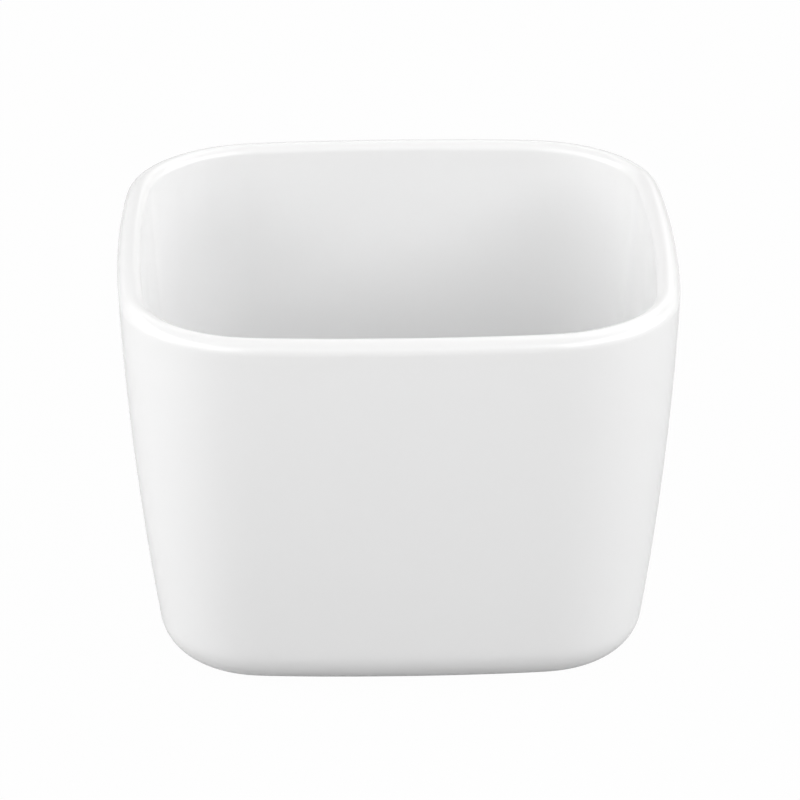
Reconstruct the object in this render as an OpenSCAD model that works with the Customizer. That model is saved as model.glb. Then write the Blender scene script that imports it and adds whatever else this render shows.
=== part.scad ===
// A square bowl in white porcelain. One fired body stands on a bare foot. A coat of clear glaze runs over its
// outside, its lip and its inside, and a second patch of glaze lies in the recess under its floor.
// Millimetres, +Z up, origin at the middle of the face that the bowl stands on, flat sides across X and Y.

/* [Bowl] */
// Width of the glazed bowl, from the middle of one side to the middle of the opposite side
bowl_w = 100; // [90:1:130]
// Height of the glazed bowl, from the table to the top of the lip
bowl_h = 69; // [50:1:90]
// Radius of the four corners at the rim, seen from above
corner_r = 25; // [22:1:36]
// How far the middle of a side stands out from a straight line over the whole width
side_bow = 3.7; // [1:0.1:6]

/* [Wall] */
// Thickness of the porcelain in the wall
wall_t = 3.6; // [2.5:0.1:4.5]
// Lean of the wall at the rim, in degrees from upright
rim_lean = 2.3; // [0:0.1:5]
// Radius of the wall's curve from rim to base, seen from the side
wall_r = 550; // [450:10:900]
// Radius of the outer edge of the lip, in the porcelain
lip_r = 2.1; // [1.6:0.1:2.3]

/* [Base] */
// Radius of the lower outside edge, in the porcelain
base_r = 8; // [5:0.5:10]
// Radius between the wall and the floor inside, in the porcelain
floor_r = 10; // [6:0.5:12]
// Thickness of the porcelain under the inside floor
floor_t = 3.6; // [2.5:0.1:5]
// Width of the flat ring that the bowl stands on
foot_w = 4.5; // [3:0.1:6]
// Depth of the recess inside that ring
recess_h = 1.6; // [1:0.1:2.5]

/* [Glaze] */
// Thickness of the coat over the porcelain
glaze_t = 0.3; // [0.2:0.05:0.4]
// Where the coat ends on the lower outside edge, in degrees round from straight down
bare_angle = 22; // [18:1:40]

/* [Hidden] */

PORCELAIN = "#e9e5dd";
GLAZE = "#f7f8f8";

// Steps along each curve
side_steps = 4;
corner_steps = 10;
base_steps = 5;
wall_steps = 5;
lip_steps = 4;
floor_steps = 5;

// From above, the outline is four long arcs and four corner arcs that meet without a kink. A section lower
// down or further in is the same outline moved inwards, so every arc keeps its centre.
half_w = bowl_w / 2;
side_r = (half_w * half_w + side_bow * side_bow) / (2 * side_bow);
side_back = side_r - half_w;
// The corners inside never close up to a point
tight_corner_r = corner_r / 10;

// In the wall's own section, u runs inwards from the finished outline and z runs up from the table.
// The curved wall has one centre for both of its faces.
body_top = bowl_h - glaze_t;
lip_centre = [glaze_t + lip_r, body_top - lip_r];
wall_centre_z = body_top + wall_r * sin(rim_lean);
wall_centre = [
    lip_centre.x + reach(wall_r - lip_r, wall_centre_z - lip_centre.y),
    wall_centre_z
];
inner_wall_r = wall_r - wall_t;

// The inner edge of the lip starts at the top of the outer one and runs into the inner face of the wall
lip_to_centre = wall_centre.x - lip_centre.x;
top_to_centre = wall_centre.y - body_top;
inner_lip_r = (lip_to_centre * lip_to_centre + top_to_centre * top_to_centre - inner_wall_r * inner_wall_r)
    / (2 * (inner_wall_r - top_to_centre));
inner_lip_centre = [lip_centre.x, body_top - inner_lip_r];

// The base's edge lies inside the wall's outer face, and the floor's curve against its inner face
floor_z = recess_h + floor_t;
base_centre = [wall_centre.x - reach(wall_r - base_r, wall_centre.y - base_r), base_r];
floor_centre_z = floor_z + floor_r;
floor_centre = [
    wall_centre.x - reach(inner_wall_r - floor_r, wall_centre.y - floor_centre_z),
    floor_centre_z
];
recess_u = base_centre.x + foot_w;

// Lean of the wall where each of those curves joins it
base_lean = lean(base_centre);
lip_lean = lean(lip_centre);
inner_lip_lean = lean(inner_lip_centre);
floor_lean = lean(floor_centre);

// The other side of a right triangle, from its long side and one short side
function reach(long, short) = sqrt(long * long - short * short);

// Lean, from upright, of the line from the wall's centre through a point
function lean(p) = atan2(wall_centre.y - p.y, wall_centre.x - p.x);

// Points on an arc in the wall's section. Angles are 0 outwards, 90 up and 180 inwards.
function arc(centre, r, from, to, steps) = [
    for (i = [0 : steps])
        let (a = from + (to - from) * i / steps)
        [centre.x - r * cos(a), centre.y + r * sin(a)]
];

// The section of the bowl's skin at a distance from the porcelain: round the base's edge from start_angle,
// up the outer wall, over the lip, down the inner wall and round to the floor
function skin(coat, start_angle) = concat(
    arc(base_centre, base_r + coat, start_angle, -base_lean, base_steps),
    inner_points(arc(wall_centre, wall_r + coat, -base_lean, -lip_lean, wall_steps)),
    arc(lip_centre, lip_r + coat, -lip_lean, 90, lip_steps),
    after_first(arc(inner_lip_centre, inner_lip_r + coat, 90, 180 - inner_lip_lean, lip_steps)),
    inner_points(arc(wall_centre, inner_wall_r - coat, -inner_lip_lean, -floor_lean, wall_steps)),
    arc(floor_centre, floor_r - coat, -floor_lean, -90, floor_steps)
);

function after_first(list) = [for (i = [1 : len(list) - 1]) list[i]];
function inner_points(list) = [for (i = [1 : len(list) - 2]) list[i]];
function backwards(list) = [for (i = [len(list) - 1 : -1 : 0]) list[i]];

// The bowl's outline from above, moved inwards by u, as points in order round it
function outline(u) =
    let (
        r = max(corner_r - u, tight_corner_r),
        span = side_r - u - r,
        c = (reach(sqrt(2) * span, side_back) - side_back) / 2,
        turn = atan2(c, c + side_back)
    )
    [
        for (quarter = [0 : 90 : 270])
            each concat(
                [
                    for (i = [0 : side_steps - 1])
                        let (a = turn * (2 * i / side_steps - 1))
                        turned([(side_r - u) * cos(a) - side_back, (side_r - u) * sin(a)], quarter)
                ],
                [
                    for (i = [0 : corner_steps - 1])
                        let (a = turn + (90 - 2 * turn) * i / corner_steps)
                        turned([c + r * cos(a), c + r * sin(a)], quarter)
                ]
            )
    ];

function turned(p, a) = [p.x * cos(a) - p.y * sin(a), p.x * sin(a) + p.y * cos(a)];

// A closed skin through one outline for each point of a section, with a flat face over both ends
module shell(section) {
    around = len(outline(0));
    last = len(section) - 1;
    points = [for (s = section) each [for (p = outline(s.x)) [p.x, p.y, s.y]]];
    sides = [
        for (j = [0 : last - 1], i = [0 : around - 1])
            let (k = (i + 1) % around)
            each [
                [j * around + i, (j + 1) * around + i, (j + 1) * around + k],
                [j * around + i, (j + 1) * around + k, j * around + k]
            ]
    ];
    first_face = [for (i = [0 : around - 1]) i];
    last_face = [for (i = [around - 1 : -1 : 0]) last * around + i];
    polyhedron(points = points, faces = concat([first_face], sides, [last_face]));
}

// A flat slab with the outline's shape, from height z up
module slab(u, z, h) translate([0, 0, z]) linear_extrude(h) polygon(outline(u));

// The fired body, with its recess cut into the foot
module porcelain_body() color(PORCELAIN) difference() {
    shell(skin(0, -90));
    slab(recess_u, -recess_h, 2 * recess_h);
}

// The coat, whose inner face is the porcelain's own surface
module glaze_coat() color(GLAZE) shell(concat(
    backwards(skin(0, bare_angle - 90)),
    skin(glaze_t, bare_angle - 90)
));

// The patch on the recess's ceiling
module underside_glaze() color(GLAZE) slab(recess_u, recess_h - glaze_t, glaze_t);

porcelain_body();
glaze_coat();
underside_glaze();
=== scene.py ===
"""Looks of a square porcelain bowl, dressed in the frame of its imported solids.

Three smooth pieces stand for the three solids: the fired body, the coat of glaze over its outside, lip and
inside, and the patch of glaze in the recess of its foot. Every length is in metres.
"""

import logging
from dataclasses import dataclass
from enum import Enum
from math import cos, pi, radians, sin, sqrt
from typing import Any, Mapping, Sequence

import bpy
import numpy as np
from mathutils import Matrix, Vector


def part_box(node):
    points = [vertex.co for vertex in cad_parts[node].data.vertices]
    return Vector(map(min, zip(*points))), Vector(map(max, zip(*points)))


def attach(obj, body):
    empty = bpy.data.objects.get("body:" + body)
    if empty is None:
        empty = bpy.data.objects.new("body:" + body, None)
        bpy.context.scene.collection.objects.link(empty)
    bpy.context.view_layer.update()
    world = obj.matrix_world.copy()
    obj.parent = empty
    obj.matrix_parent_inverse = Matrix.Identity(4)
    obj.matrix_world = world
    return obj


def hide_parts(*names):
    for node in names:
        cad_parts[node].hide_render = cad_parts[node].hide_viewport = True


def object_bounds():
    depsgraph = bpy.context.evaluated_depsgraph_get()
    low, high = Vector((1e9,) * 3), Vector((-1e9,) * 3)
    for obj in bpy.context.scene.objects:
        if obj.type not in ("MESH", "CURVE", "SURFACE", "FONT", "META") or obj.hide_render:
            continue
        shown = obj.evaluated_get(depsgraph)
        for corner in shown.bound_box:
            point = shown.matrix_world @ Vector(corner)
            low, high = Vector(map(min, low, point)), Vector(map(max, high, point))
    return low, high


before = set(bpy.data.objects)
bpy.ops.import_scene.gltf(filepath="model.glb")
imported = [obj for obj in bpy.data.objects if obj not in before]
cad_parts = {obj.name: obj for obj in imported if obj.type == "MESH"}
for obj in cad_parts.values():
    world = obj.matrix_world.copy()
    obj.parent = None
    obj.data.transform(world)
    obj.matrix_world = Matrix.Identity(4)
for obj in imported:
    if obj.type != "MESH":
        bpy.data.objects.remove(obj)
CAD_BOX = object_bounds()

LOG = logging.getLogger("bowl")
MM = 0.001

Colour = tuple[float, float, float, float]

# Side of the photograph's square frame, in pixels
IMAGE_SIDE = 800
# The mesh attribute that holds the glaze's thickness at each point
COAT_ATTRIBUTE = "coat"
# Rings between a flat face's rim and its middle
CENTRE_RINGS = 12
# Steps round the glaze's lower bead
BEAD_STEPS = 8
# The heights of bumps are in metres already
BUMP_DISTANCE = 1.0
# A Mix node's colour sockets by place, because their names repeat
MIX_SHARE = 0
MIX_FIRST = 6
MIX_SECOND = 7
MIX_RESULT = 2
# The lit face of a strip light
STRIP_WIDTH = 1.0
STRIP_HEIGHT = 0.3


class Slot(Enum):
    """The record's material slots."""

    PORCELAIN = "porcelain"
    GLAZE = "glaze"


class Node(Enum):
    """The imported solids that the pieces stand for."""

    BODY = "porcelain_body"
    COAT = "glaze_coat"
    PATCH = "underside_glaze"


class Number:
    """A shader socket that carries a number, with Python's operators for its Math nodes."""

    def __init__(self, tree: bpy.types.NodeTree, socket: bpy.types.NodeSocket) -> None:
        """Wraps one output socket of a node tree."""
        self.tree = tree
        self.socket = socket

    def _math(self, operation: str, first: Any, second: Any) -> "Number":
        """Adds one Math node.

        Args:
            operation: The Math node's operation.
            first: Its first value, a wrapped socket or a plain number.
            second: Its second value, the same.

        Returns:
            The node's wrapped result.
        """
        made = self.tree.nodes.new("ShaderNodeMath")
        made.operation = operation
        for place, value in enumerate((first, second)):
            if isinstance(value, Number):
                self.tree.links.new(value.socket, made.inputs[place])
            else:
                made.inputs[place].default_value = value
        return Number(self.tree, made.outputs[0])

    def __add__(self, other: Any) -> "Number":
        """The sum of both."""
        return self._math("ADD", self, other)

    def __sub__(self, other: Any) -> "Number":
        """This less the other."""
        return self._math("SUBTRACT", self, other)

    def __rsub__(self, other: Any) -> "Number":
        """The other less this."""
        return self._math("SUBTRACT", other, self)

    def __mul__(self, other: Any) -> "Number":
        """The product of both."""
        return self._math("MULTIPLY", self, other)

    def __truediv__(self, other: Any) -> "Number":
        """This divided by the other."""
        return self._math("DIVIDE", self, other)

    def at_most(self, other: Any) -> "Number":
        """The smaller of both."""
        return self._math("MINIMUM", self, other)

    def at_least(self, other: Any) -> "Number":
        """The larger of both."""
        return self._math("MAXIMUM", self, other)

    def held(self) -> "Number":
        """This, held between 0 and 1."""
        return self.at_most(1.0).at_least(0.0)

    __radd__ = __add__
    __rmul__ = __mul__


class Graph:
    """A material's or the world's node tree, filled from empty."""

    def __init__(self, tree: bpy.types.NodeTree) -> None:
        """Empties the tree that is to be filled."""
        tree.nodes.clear()
        self.tree = tree

    def node(
        self,
        kind: str,
        settings: Mapping[str, Any] | None = None,
        sockets: Mapping[Any, Any] | None = None,
    ) -> bpy.types.Node:
        """Adds a node.

        Args:
            kind: The node's type.
            settings: Its own settings, set first. "stops" holds a ramp's positions and colours.
            sockets: A value, a wrapped number or an output socket for each input, by name or place.

        Returns:
            The new node.
        """
        made = self.tree.nodes.new(kind)
        for name, value in (settings or {}).items():
            if name == "stops":
                self._set_stops(made.color_ramp, value)
            else:
                setattr(made, name, value)
        for name, value in (sockets or {}).items():
            if isinstance(value, Number):
                self.tree.links.new(value.socket, made.inputs[name])
            elif isinstance(value, bpy.types.NodeSocket):
                self.tree.links.new(value, made.inputs[name])
            else:
                made.inputs[name].default_value = value
        return made

    @staticmethod
    def _set_stops(ramp: bpy.types.ColorRamp, stops: Sequence[tuple[float, Colour]]) -> None:
        """Sets a ramp's stops.

        Args:
            ramp: The ramp, which has two stops to begin with.
            stops: The position and colour of each, at least two, in order of position.
        """
        while len(ramp.elements) < len(stops):
            ramp.elements.new(1.0)
        for element, (position, colour) in zip(ramp.elements, stops, strict=True):
            element.position = position
            element.color = colour

    def number(self, socket: bpy.types.NodeSocket) -> Number:
        """The socket, wrapped for sums."""
        return Number(self.tree, socket)

    def noise(self, where: bpy.types.NodeSocket, size: float, detail: float = 2.0) -> Number:
        """A soft random value from 0 to 1 over the piece.

        Args:
            where: The coordinates that it reads.
            size: The distance from one patch to the next.
            detail: How many finer layers lie over the first.

        Returns:
            The wrapped value.
        """
        made = self.node(
            "ShaderNodeTexNoise", sockets={"Vector": where, "Scale": 1.0 / size, "Detail": detail}
        )
        return self.number(made.outputs["Fac"])

    def mix(self, share: Any, first: Any, second: Any) -> bpy.types.NodeSocket:
        """A colour between two others.

        Args:
            share: How much of the second colour there is.
            first: The first colour or its socket.
            second: The second colour or its socket.

        Returns:
            The mixed colour's socket.
        """
        sockets = {MIX_SHARE: share, MIX_FIRST: first, MIX_SECOND: second}
        return self.node("ShaderNodeMix", {"data_type": "RGBA"}, sockets).outputs[MIX_RESULT]

    def background_rays(self, reflected: float = 1.0) -> Number:
        """One where a ray comes from the camera, and zero where it lights a surface.

        Args:
            reflected: The value where it comes from a reflection or a see-through surface.

        Returns:
            The wrapped value.
        """
        path = self.node("ShaderNodeLightPath")
        names = ("Is Camera Ray", "Is Glossy Ray", "Is Transmission Ray")
        camera, glossy, through = (self.number(path.outputs[name]) for name in names)
        return camera.at_least((glossy + through).at_most(1.0) * reflected)


def new_material(name: str) -> bpy.types.Material:
    """Adds a node material.

    Args:
        name: Its name.

    Returns:
        The new material, whose nodes are still the default ones.
    """
    made = bpy.data.materials.new(name)
    made.use_nodes = True
    return made


@dataclass(frozen=True)
class GlazeFinish:
    """Clear glossy glaze on white porcelain, a little cooler where it has gathered."""

    name: str = "clear_glaze"
    white: Colour = (0.809, 0.81, 0.812, 1.0)
    gathered: Colour = (0.77, 0.78, 0.79, 1.0)
    # Darker over the lip: partly the glaze's real thinning, partly painted shade that dims the brightly lit
    # lip
    thin_and_shaded: Colour = (0.786, 0.784, 0.781, 1.0)
    white_at: float = 0.45
    thin_coat: float = 0.24 * MM
    full_coat: float = 0.42 * MM
    roughness: float = 0.17
    roughness_spread: float = 0.06
    haze_size: float = 16 * MM
    wave_size: float = 19 * MM
    wave_height: float = 0.016 * MM
    peel_size: float = 1.6 * MM
    peel_height: float = 0.0008 * MM
    bump_detail: float = 1.0
    shade_size: float = 31 * MM
    shade_spread: float = 0.16
    refraction: float = 1.48

    def material(self) -> bpy.types.Material:
        """Builds the finish.

        The colour runs from thin over white to gathered with the coat's thickness, which each point of the
        mesh carries, and strays a little with a slow noise. The thin colour, over the lip, is partly the
        glaze's real thinning and partly painted shade that dims the brightly lit lip. Slow waves and a fine
        orange peel bend the reflections.

        Returns:
            The new material.
        """
        made = new_material(self.name)
        graph = Graph(made.node_tree)
        where = graph.node("ShaderNodeTexCoord").outputs["Object"]
        carried = graph.node("ShaderNodeAttribute", {"attribute_name": COAT_ATTRIBUTE})
        coat = graph.number(carried.outputs["Fac"])
        depth = (coat - self.thin_coat) / (self.full_coat - self.thin_coat)
        stray = (graph.noise(where, self.shade_size) - 0.5) * self.shade_spread
        # The ramp's thin end, over the lip, is partly painted shade that dims the brightly lit lip
        ramp = graph.node(
            "ShaderNodeValToRGB",
            {"stops": [(0.0, self.thin_and_shaded), (self.white_at, self.white), (1.0, self.gathered)]},
            {"Fac": (depth + stray).held()},
        )
        waves = graph.noise(where, self.wave_size, self.bump_detail) * self.wave_height
        peel = graph.noise(where, self.peel_size, self.bump_detail) * self.peel_height
        bump = graph.node("ShaderNodeBump", sockets={"Height": waves + peel, "Distance": BUMP_DISTANCE})
        haze = graph.noise(where, self.haze_size)
        shader = graph.node(
            "ShaderNodeBsdfPrincipled",
            sockets={
                "Base Color": ramp.outputs["Color"],
                "Roughness": haze * self.roughness_spread + self.roughness,
                "IOR": self.refraction,
                "Normal": bump.outputs["Normal"],
            },
        )
        graph.node("ShaderNodeOutputMaterial", sockets={"Surface": shader.outputs["BSDF"]})
        return made


@dataclass(frozen=True)
class BareFinish:
    """Unglazed fired porcelain: matt, finely grained, warm beside the glaze, a little grey where rubbed."""

    name: str = "bare_porcelain"
    clay: Colour = (0.79, 0.77, 0.725, 1.0)
    warm: Colour = (0.74, 0.665, 0.56, 1.0)
    rubbed: Colour = (0.66, 0.652, 0.63, 1.0)
    speck: Colour = (0.36, 0.32, 0.27, 1.0)
    warm_from: float = 0.08 * MM
    warm_full: float = 0.6 * MM
    rub_height: float = 0.1 * MM
    rub_size: float = 2.2 * MM
    rub_detail: float = 5.0
    rub_from: float = 0.45
    rub_edge: float = 4.0
    grain_size: float = 0.35 * MM
    grain_detail: float = 3.0
    grain_height: float = 0.03 * MM
    speck_size: float = 0.9 * MM
    speck_from: float = 0.73
    speck_edge: float = 14.0
    roughness: float = 0.6
    roughness_spread: float = 0.3

    def material(self) -> bpy.types.Material:
        """Builds the finish.

        The clay warms with its height above the table, because it is warm only beside the glaze, and it is
        rubbed only near the table itself. Patches of rubbed clay and rare iron specks are noises cut off
        above a threshold, and the grain is a fine noise that also roughens the surface.

        Returns:
            The new material.
        """
        made = new_material(self.name)
        graph = Graph(made.node_tree)
        where = graph.node("ShaderNodeTexCoord").outputs["Object"]
        height = graph.number(graph.node("ShaderNodeSeparateXYZ", sockets={"Vector": where}).outputs["Z"])
        warmth = ((height - self.warm_from) / (self.warm_full - self.warm_from)).held()
        standing = (1 - height / self.rub_height).held()
        patches = graph.noise(where, self.rub_size, self.rub_detail)
        rub = ((patches - self.rub_from) * self.rub_edge).held() * standing
        specks = ((graph.noise(where, self.speck_size) - self.speck_from) * self.speck_edge).held()
        grain = graph.noise(where, self.grain_size, self.grain_detail)
        worn = graph.mix(rub, graph.mix(warmth, self.clay, self.warm), self.rubbed)
        colour = graph.mix(specks, worn, self.speck)
        bump = graph.node(
            "ShaderNodeBump", sockets={"Height": grain * self.grain_height, "Distance": BUMP_DISTANCE}
        )
        shader = graph.node(
            "ShaderNodeBsdfPrincipled",
            sockets={
                "Base Color": colour,
                "Roughness": grain * self.roughness_spread + self.roughness,
                "Normal": bump.outputs["Normal"],
            },
        )
        graph.node("ShaderNodeOutputMaterial", sockets={"Surface": shader.outputs["BSDF"]})
        return made


@dataclass(frozen=True)
class Outline:
    """The bowl's outline from above: four bowed sides and four round corners that run into one another."""

    half_width: float
    corner_radius: float = 24.7 * MM
    flat_turn: float = radians(4.4)
    flatness: float = 2.5
    quarter_steps: int = 64
    fine_steps: int = 4000
    spread: float = 70 * MM

    def _curve(self, turn: np.ndarray) -> np.ndarray:
        """How flat the outline is at each turn, from 1 at the middle of a side to 0 in a corner."""
        return np.exp(-((turn / self.flat_turn) ** self.flatness))

    def walk(self) -> tuple[np.ndarray, np.ndarray]:
        """Walks once round the outline.

        The direction that the outline faces turns evenly from the middle of a side to the middle of a
        corner, and its radius there is the corner's own plus a share that fades with that turn. The share's
        size is the one that brings the half side to the diagonal. A point is the sum of the small steps
        before it, each the radius times the turn, along the outline.

        Returns:
            The points, and the unit directions that face out of the outline there, as rows of x and y.
        """
        turn = np.linspace(0.0, pi / 4, self.fine_steps)
        step = turn[1]
        middle = (turn[1:] + turn[:-1]) / 2
        reach = np.sin(middle) + np.cos(middle)
        flat = self._curve(middle)
        side = (self.half_width - self.corner_radius * np.sum(reach) * step) / (np.sum(flat * reach) * step)
        radius = self.corner_radius + side * flat
        x = self.half_width - np.concatenate([[0.0], np.cumsum(radius * np.sin(middle) * step)])
        y = np.concatenate([[0.0], np.cumsum(radius * np.cos(middle) * step)])
        # Points lie closer together where the outline turns faster
        pace = np.concatenate([[0.0], np.cumsum((radius + self.spread) * step)])
        chosen = np.interp(np.linspace(0.0, pace[-1], self.quarter_steps // 2 + 1), pace, turn)
        eighth = np.stack([np.interp(chosen, turn, x), np.interp(chosen, turn, y)], axis=1)
        facing = np.stack([np.cos(chosen), np.sin(chosen)], axis=1)
        # Mirrored in the diagonal, one point short of the next side's middle, where the next quarter starts
        quarter = np.concatenate([eighth, eighth[-2:0:-1, ::-1]])
        quarter_facing = np.concatenate([facing, facing[-2:0:-1, ::-1]])
        points, directions = [], []
        for turned in range(4):
            a = turned * pi / 2
            spin = np.array([[cos(a), sin(a)], [-sin(a), cos(a)]])
            points.append(quarter @ spin)
            directions.append(quarter_facing @ spin)
        return np.concatenate(points), np.concatenate(directions)


@dataclass(frozen=True)
class Arc:
    """A stretch of the wall's section on one circle.

    Angles are in degrees, 0 outwards, 90 up and 180 inwards. facing is 1 where the clay lies inside the
    circle, and -1 where it lies outside, as it does along the inner wall.
    """

    centre: tuple[float, float]
    radius: float
    start: float
    end: float
    steps: int
    facing: float = 1.0

    def trace(self) -> tuple[np.ndarray, np.ndarray]:
        """Points on the arc, the radius away from the centre at even angles.

        Returns:
            Rows of inset and height, and rows of the unit directions that leave the clay there.
        """
        a = np.radians(np.linspace(self.start, self.end, self.steps + 1))
        away = np.stack([-np.cos(a), np.sin(a)], axis=1)
        return np.array(self.centre) + self.radius * away, away * self.facing


@dataclass(frozen=True)
class Section:
    """The section of the fired body. Inset runs inwards from the glazed outline, height up from the table."""

    height: float
    coat: float = 0.3 * MM
    wall: float = 3.6 * MM
    rim_lean: float = 2.3
    wall_radius: float = 550 * MM
    lip_radius: float = 2.1 * MM
    base_radius: float = 8 * MM
    floor_radius: float = 10 * MM
    floor_thickness: float = 3.6 * MM
    foot_width: float = 4.5 * MM
    recess: float = 1.6 * MM
    recess_edge: float = 0.5 * MM
    bare_angle: float = 22.0
    base_steps: int = 22
    wall_steps: int = 40
    lip_steps: int = 22
    inner_lip_steps: int = 14
    inner_wall_steps: int = 36
    floor_steps: int = 26
    recess_steps: int = 6
    ring_steps: int = 8

    @property
    def top(self) -> float:
        """Height of the clay's lip."""
        return self.height - self.coat

    @property
    def lip_centre(self) -> tuple[float, float]:
        """Centre of the lip's outer edge."""
        return self.coat + self.lip_radius, self.top - self.lip_radius

    @property
    def wall_centre(self) -> tuple[float, float]:
        """Centre of the wall's long curve, far inside and a little above the lip.

        Its height gives the curve the rim's lean at the top. Its distance from the centre of the lip's edge
        is the difference of their radii, so the two curves touch.

        Returns:
            Its inset and height.
        """
        z = self.top + self.wall_radius * sin(radians(self.rim_lean))
        inset, lip_z = self.lip_centre
        return inset + sqrt((self.wall_radius - self.lip_radius) ** 2 - (z - lip_z) ** 2), z

    @property
    def inner_radius(self) -> float:
        """Radius of the wall's inner face."""
        return self.wall_radius - self.wall

    @property
    def inner_lip_radius(self) -> float:
        """Radius of the lip's inner edge, which starts at the top and runs into the inner face.

        Its centre lies straight below the top, and as far from the wall's centre as the sum of its radius
        and the inner face's, so the two curves touch.

        Returns:
            The radius.
        """
        across = self.wall_centre[0] - self.lip_centre[0]
        up = self.wall_centre[1] - self.top
        return (across**2 + up**2 - self.inner_radius**2) / (2 * (self.inner_radius - up))

    def inside_curve(self, radius: float, z: float, wall: float) -> tuple[float, float]:
        """Centre of a circle that touches a wall's curve from inside, the difference of their radii away.

        Args:
            radius: The circle's radius.
            z: Height of its centre.
            wall: Radius of the wall's curve.

        Returns:
            Its inset and height.
        """
        inset, up = self.wall_centre
        return inset - sqrt((wall - radius) ** 2 - (up - z) ** 2), z

    @property
    def base_centre(self) -> tuple[float, float]:
        """Centre of the lower outside edge."""
        return self.inside_curve(self.base_radius, self.base_radius, self.wall_radius)

    @property
    def floor_z(self) -> float:
        """Height of the clay's inside floor."""
        return self.recess + self.floor_thickness

    @property
    def floor_centre(self) -> tuple[float, float]:
        """Centre of the curve between the wall and the floor."""
        return self.inside_curve(self.floor_radius, self.floor_z + self.floor_radius, self.inner_radius)

    @property
    def recess_inset(self) -> float:
        """Inset of the recess's wall."""
        return self.base_centre[0] + self.foot_width

    def lean(self, centre: tuple[float, float]) -> float:
        """Lean from level, in degrees, of the line from the wall's centre through a point."""
        inset, up = self.wall_centre
        return float(np.degrees(np.arctan2(up - centre[1], inset - centre[0])))

    def upper(self, start: float) -> tuple[np.ndarray, np.ndarray]:
        """The clay's skin round the base's edge, up the outside, over the lip and down to the floor inside.

        It is a chain of arcs. Each ends where it touches the next, on the line through both their centres.

        Args:
            start: Where on the base's edge it starts, in degrees, -90 being straight down.

        Returns:
            Rows of inset and height, and the directions that leave the clay there.
        """
        base, lip, floor, wall = self.base_centre, self.lip_centre, self.floor_centre, self.wall_centre
        inner_lip = (lip[0], self.top - self.inner_lip_radius)
        base_lean, lip_lean = self.lean(base), self.lean(lip)
        inner_lean, floor_lean = self.lean(inner_lip), self.lean(floor)
        arcs = [
            Arc(base, self.base_radius, start, -base_lean, self.base_steps),
            Arc(wall, self.wall_radius, -base_lean, -lip_lean, self.wall_steps),
            Arc(lip, self.lip_radius, -lip_lean, 90.0, self.lip_steps),
            Arc(inner_lip, self.inner_lip_radius, 90.0, 180.0 - inner_lean, self.inner_lip_steps),
            Arc(wall, self.inner_radius, -inner_lean, -floor_lean, self.inner_wall_steps, facing=-1.0),
            Arc(floor, self.floor_radius, -floor_lean, -90.0, self.floor_steps, facing=-1.0),
        ]
        traced = [arc.trace() for arc in arcs]
        # Neighbouring arcs share their ends
        points = np.concatenate([traced[0][0]] + [points[1:] for points, _ in traced[1:]])
        away = np.concatenate([traced[0][1]] + [directions[1:] for _, directions in traced[1:]])
        return points, away

    def lower(self) -> np.ndarray:
        """The recess's skin, from its ceiling down its wall and round the edge of the wall to the flat ring.

        Returns:
            Rows of inset and height.
        """
        wall, edge, deep = self.recess_inset, self.recess_edge, self.recess
        ceiling = Arc((wall + edge, deep - edge), edge, 90.0, 0.0, self.recess_steps).trace()[0]
        ring = Arc((wall - edge, edge), edge, 180.0, 270.0, self.ring_steps).trace()[0]
        return np.concatenate([ceiling, ring])


def loft(
    name: str, outline: Outline, section: np.ndarray, coat: np.ndarray | None = None
) -> bpy.types.Object:
    """Carries a section round the outline and closes it over the axis at both ends.

    Ring j, point i lies at outline point i moved inwards by the section's inset j, at the section's height
    j. Beyond both ends the last ring shrinks towards the axis at its own height, down to a single point.

    Args:
        name: The new object's name.
        outline: The outline from above.
        section: Rows of inset and height, from one end to the other.
        coat: The glaze's thickness at each row, if the piece is glaze.

    Returns:
        The new object, closed and facing outwards.
    """
    start, facing = outline.walk()
    shrink = np.linspace(1.0, 0.0, CENTRE_RINGS + 1)[1:-1]
    rings = start[None] - section[:, 0, None, None] * facing[None]
    rings = np.concatenate([rings[0] * shrink[::-1, None, None], rings, rings[-1] * shrink[:, None, None]])
    heights = np.concatenate(
        [np.full(len(shrink), section[0, 1]), section[:, 1], np.full(len(shrink), section[-1, 1])]
    )
    around, count = len(start), len(rings)
    upright = np.broadcast_to(heights[:, None, None], (count, around, 1))
    points = np.concatenate([rings, upright], axis=2).reshape(-1, 3)
    poles = np.array([[0.0, 0.0, heights[0]], [0.0, 0.0, heights[-1]]])
    points = np.concatenate([points, poles])

    i = np.arange(around)
    k = (i + 1) % around
    j = np.arange(count - 1)[:, None] * around
    quads = np.stack([j + i, j + k, j + around + k, j + around + i], axis=-1).reshape(-1, 4)
    first, last = count * around, count * around + 1
    top = (count - 1) * around
    fans = np.concatenate(
        [
            np.stack([np.full(around, first), k, i], axis=-1),
            np.stack([np.full(around, last), top + i, top + k], axis=-1),
        ]
    )
    mesh = bpy.data.meshes.new(name)
    mesh.vertices.add(len(points))
    mesh.vertices.foreach_set("co", points.astype(np.float32).ravel())
    corners = np.concatenate([quads.ravel(), fans.ravel()])
    starts = np.concatenate([np.arange(len(quads)) * 4, quads.size + np.arange(len(fans)) * 3])
    mesh.loops.add(len(corners))
    mesh.loops.foreach_set("vertex_index", corners.astype(np.int32))
    mesh.polygons.add(len(starts))
    mesh.polygons.foreach_set("loop_start", starts.astype(np.int32))
    mesh.polygons.foreach_set("use_smooth", np.ones(len(starts), dtype=bool))
    if coat is not None:
        full = np.concatenate([np.full(len(shrink), coat[0]), coat, np.full(len(shrink), coat[-1])])
        values = np.concatenate([np.repeat(full, around), [coat[0], coat[-1]]])
        carried = mesh.attributes.new(COAT_ATTRIBUTE, "FLOAT", "POINT")
        carried.data.foreach_set("value", values.astype(np.float32))
    mesh.update(calc_edges=True)
    mesh.validate()
    made = bpy.data.objects.new(name, mesh)
    bpy.context.scene.collection.objects.link(made)
    return made


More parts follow.
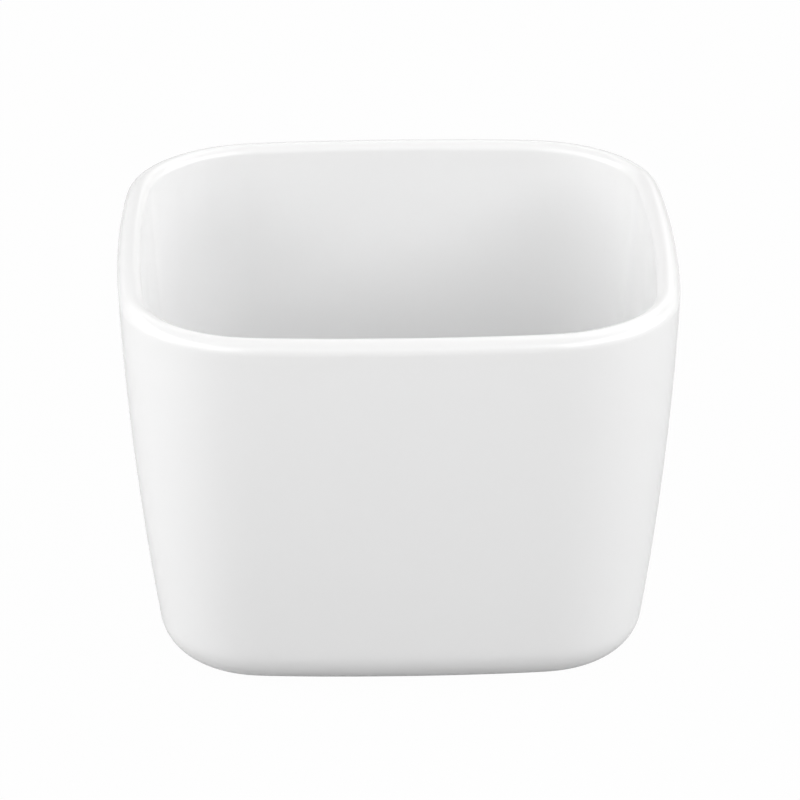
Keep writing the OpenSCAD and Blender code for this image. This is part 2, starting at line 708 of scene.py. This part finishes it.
@dataclass
class Bowl:
    """The bowl's three pieces, each carried round one outline."""

    outline: Outline
    section: Section
    # Thins the glaze over the lip and so darkens its colour there, partly as painted shade on the lit lip
    lip_thinning_and_shade: float = 0.12
    lip_spread: float = 5 * MM
    gathering: float = 0.4
    gathering_spread: float = 7 * MM
    hollow_steps: int = 10
    glaze: GlazeFinish = GlazeFinish()
    bare: BareFinish = BareFinish()

    @classmethod
    def from_frame(cls) -> "Bowl":
        """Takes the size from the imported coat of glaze.

        Returns:
            The bowl.
        """
        low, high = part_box(Node.COAT.value)
        half_width = min(high[0], high[1], -low[0], -low[1])
        return cls(Outline(half_width), Section(high[2]))

    def coat_section(self) -> tuple[np.ndarray, np.ndarray]:
        """The glaze's closed section.

        The glaze stands off the clay along the clay's own direction. Its thickness is the nominal one, less
        a soft dip over the lip, plus a soft rise in the curve above the floor, each a bell curve of the
        distance along the skin. The dip also darkens the lip's colour, partly as painted shade. Its lower
        end is a half-round bead.

        Returns:
            Rows of inset and height, from the clay's floor out and over to the glazed floor, and the
            thickness at each of them.
        """
        clay, away = self.section.upper(self.section.bare_angle - 90.0)
        walked = np.concatenate([[0.0], np.cumsum(np.linalg.norm(np.diff(clay, axis=0), axis=1))])
        lip_at = walked[np.argmax(clay[:, 1])]
        # The skin ends with a quarter turn above the floor, and this is its middle
        gather_at = walked[-1] - self.section.floor_radius * pi / 4
        # The dip over the lip also darkens the lip's colour: partly real thinning, partly painted shade on
        # the lit lip
        thickness = self.section.coat * (
            1.0
            - self.lip_thinning_and_shade * np.exp(-(((walked - lip_at) / self.lip_spread) ** 2))
            + self.gathering * np.exp(-(((walked - gather_at) / self.gathering_spread) ** 2))
        )
        glazed = clay + away * thickness[:, None]
        middle, half = (clay[0] + glazed[0]) / 2, (glazed[0] - clay[0]) / 2
        back = np.array([half[1], -half[0]])
        back *= np.sign(np.dot(back, clay[0] - clay[1]))
        a = np.linspace(0.0, pi, BEAD_STEPS + 1)[1:-1, None]
        bead = middle - half * np.cos(a) + back * np.sin(a)
        rows = np.concatenate([clay[::-1], bead, glazed])
        coat = np.concatenate([thickness[::-1], np.full(len(bead), thickness[0]), thickness])
        return rows, coat

    def patch_section(self) -> tuple[np.ndarray, np.ndarray]:
        """The underside patch's closed section: its hollow lower face, then up the recess to its ceiling.

        Returns:
            Rows of inset and height, and the nominal thickness at each of them.
        """
        s = self.section
        edge, climb = s.recess_edge, s.recess_edge + s.coat
        below = s.recess - s.coat
        hollow = Arc((s.recess_inset + climb, below - climb), climb, 90.0, 0.0, self.hollow_steps)
        ceiling = Arc((s.recess_inset + edge, s.recess - edge), edge, 0.0, 90.0, s.recess_steps)
        rows = np.concatenate([hollow.trace()[0], ceiling.trace()[0]])
        return rows, np.full(len(rows), s.coat)

    def body_section(self) -> np.ndarray:
        """The clay's whole closed section, from the recess's ceiling to the inside floor."""
        return np.concatenate([self.section.lower(), self.section.upper(-90.0)[0]])

    def build(self) -> list[bpy.types.Object]:
        """Returns:
            The pieces.
        """
        coat, coat_thickness = self.coat_section()
        patch, patch_thickness = self.patch_section()
        glaze, bare = self.glaze.material(), self.bare.material()
        plans = [
            ("fired_body", self.body_section(), None, bare, Slot.PORCELAIN, Node.BODY),
            ("glazed_skin", coat, coat_thickness, glaze, Slot.GLAZE, Node.COAT),
            ("recess_glaze", patch, patch_thickness, glaze, Slot.GLAZE, Node.PATCH),
        ]
        pieces = []
        for name, section, thickness, material, slot, node in plans:
            piece = loft(name, self.outline, section, thickness)
            piece.data.materials.append(material)
            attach(piece, "root")
            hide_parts(node.value)
            LOG.info("%s: %d points, stands for %s", name, len(piece.data.vertices), node.value)
            pieces.append(piece)
        return pieces


def direction(azimuth: float, elevation: float) -> Vector:
    """The direction from the bowl to a viewer. Azimuth 0 is the front and 90 the right side, in degrees."""
    a, e = radians(azimuth), radians(elevation)
    return Vector((sin(a) * cos(e), -cos(a) * cos(e), sin(e)))


def aimed(place: Vector, back: Vector, roll: float = 0.0) -> Matrix:
    """The matrix of a camera or lamp.

    Args:
        place: Where it stands.
        back: The direction that its back faces.
        roll: Its turn about its own axis, in degrees, with its right side rising.

    Returns:
        The object's matrix.
    """
    turn = back.to_track_quat("Z", "Y").to_matrix().to_4x4()
    return Matrix.Translation(place) @ turn @ Matrix.Rotation(radians(roll), 4, "Z")


@dataclass(frozen=True)
class Softbox:
    """A rectangle of soft light, placed by the direction that it shines from."""

    name: str
    azimuth: float
    elevation: float
    power: float
    width: float = 0.8
    height: float = 0.8
    distance: float = 1.2

    def build(self, target: Vector) -> bpy.types.Object:
        """Adds the lamp.

        Args:
            target: The point that it shines at.

        Returns:
            The lamp's object.
        """
        lamp = bpy.data.lights.new(self.name, "AREA")
        lamp.shape = "RECTANGLE"
        lamp.size = self.width
        lamp.size_y = self.height
        lamp.energy = self.power
        made = bpy.data.objects.new(self.name, lamp)
        towards = direction(self.azimuth, self.elevation)
        made.matrix_world = aimed(target + towards * self.distance, towards)
        bpy.context.scene.collection.objects.link(made)
        return made


def strip_light(name: str, azimuth: float, elevation: float, power: float) -> Softbox:
    """A long, low softbox, whose reflection is a thin line along an edge."""
    return Softbox(name, azimuth, elevation, power, width=STRIP_WIDTH, height=STRIP_HEIGHT)


@dataclass(frozen=True)
class Viewpoint:
    """The camera at the photograph's angle, framed by where the middle of the bowl lies in the picture."""

    azimuth: float = -1.41
    elevation: float = 23.7
    roll: float = -0.175
    distance: float = 0.94
    focal_pixels: float = 5171.0
    middle_x: float = 397.12
    middle_y: float = 411.14
    sensor: float = 36.0
    nearest: float = 0.05

    def build(self, middle: Vector) -> bpy.types.Object:
        """Adds the camera and makes it the scene's.

        Args:
            middle: The bowl's own middle.

        Returns:
            The camera's object.
        """
        data = bpy.data.cameras.new("photo_camera")
        data.sensor_width = self.sensor
        data.lens = self.focal_pixels * self.sensor / IMAGE_SIDE
        data.clip_start = self.nearest
        made = bpy.data.objects.new("photo_camera", data)
        back = direction(self.azimuth, self.elevation)
        turned = aimed(Vector(), back, self.roll)
        pixel = self.distance / self.focal_pixels
        centre = IMAGE_SIDE / 2
        offset = Vector(((centre - self.middle_x) * pixel, (self.middle_y - centre) * pixel, 0.0))
        target = middle + turned.to_3x3() @ offset
        made.matrix_world = aimed(target + back * self.distance, back, self.roll)
        bpy.context.scene.collection.objects.link(made)
        bpy.context.scene.camera = made
        return made


@dataclass(frozen=True)
class Studio:
    """A plain pale floor, a white surround and soft lamps."""

    floor_size: float = 8.0
    floor_colour: Colour = (0.5, 0.5, 0.5, 1.0)
    floor_white: float = 0.98
    floor_reflected: float = 0.25
    surround_colour: Colour = (1.0, 1.0, 1.0, 1.0)
    ambient: float = 0.05
    # Each lamp's name, azimuth, elevation and power in watts
    lamps: tuple[Softbox, ...] = (
        Softbox("low_left_softbox", -90.0, 8.0, 7.9),
        Softbox("front_left_softbox", -45.0, 30.0, 5.15, width=1.0, height=0.5),
        Softbox("front_right_softbox", 45.0, 30.0, 7.0, width=1.0, height=0.6),
        Softbox("high_back_softbox", 135.0, 55.0, 3.35),
        Softbox("rear_softbox", 155.0, 25.0, 0.6, width=0.5, height=0.5),
        strip_light("left_strip", -90.0, 30.0, 2.7),
        strip_light("low_front_left_strip", -45.0, 12.0, 1.3),
        strip_light("low_right_strip", 90.0, 12.0, 3.55),
        strip_light("right_strip", 90.0, 30.0, 3.55),
        strip_light("back_left_strip", -125.0, 30.0, 1.5),
        strip_light("high_front_strip", 0.0, 40.0, 1.45),
        strip_light("high_rear_strip", 180.0, 40.0, 1.4),
    )

    def floor(self) -> bpy.types.Object:
        """Lays the floor.

        It shows nearly white to the camera, with a trace of the bowl's shadow. In reflections it is darker,
        as in the photograph, and it sends light up as a matt grey.

        Returns:
            The floor's object.
        """
        half = self.floor_size / 2
        corners = [(-half, -half, 0), (half, -half, 0), (half, half, 0), (-half, half, 0)]
        mesh = bpy.data.meshes.new("studio_floor")
        mesh.from_pydata(corners, [], [(0, 1, 2, 3)])
        made = bpy.data.objects.new("studio_floor", mesh)
        bpy.context.scene.collection.objects.link(made)
        material = new_material("pale_floor")
        graph = Graph(material.node_tree)
        matt = graph.node("ShaderNodeBsdfDiffuse", sockets={"Color": self.floor_colour})
        white = graph.node("ShaderNodeEmission", sockets={"Strength": 1.0})
        share = graph.background_rays(self.floor_reflected) * self.floor_white
        # The two shader inputs have the same name, so they go by place
        shown = graph.node(
            "ShaderNodeMixShader",
            sockets={"Fac": share, 1: matt.outputs["BSDF"], 2: white.outputs["Emission"]},
        )
        graph.node("ShaderNodeOutputMaterial", sockets={"Surface": shown.outputs["Shader"]})
        mesh.materials.append(material)
        return made

    def surround(self) -> None:
        """Sets the world: white to the camera and in reflections, and only a faint light on surfaces."""
        world = bpy.data.worlds.new("white_surround")
        world.use_nodes = True
        graph = Graph(world.node_tree)
        seen = graph.background_rays()
        strength = seen + (1 - seen) * self.ambient
        shade = graph.node(
            "ShaderNodeBackground", sockets={"Color": self.surround_colour, "Strength": strength}
        )
        graph.node("ShaderNodeOutputWorld", sockets={"Surface": shade.outputs["Background"]})
        bpy.context.scene.world = world

    def build(self, middle: Vector) -> None:
        """Adds the floor, the surround and the lamps.

        Args:
            middle: The bowl's middle, which the lamps shine at.
        """
        self.floor()
        self.surround()
        for lamp in self.lamps:
            lamp.build(middle)
        bpy.context.scene.view_settings.view_transform = "Standard"


def main() -> None:
    """Builds the view, the studio and the bowl, and reports each piece."""
    logging.basicConfig(level=logging.INFO, format="%(message)s")
    low, high = CAD_BOX
    middle = Vector((0.0, 0.0, (low[2] + high[2]) / 2))
    Viewpoint().build(middle)
    Studio().build(middle)
    Bowl.from_frame().build()


if __name__ == "__main__":
    main()
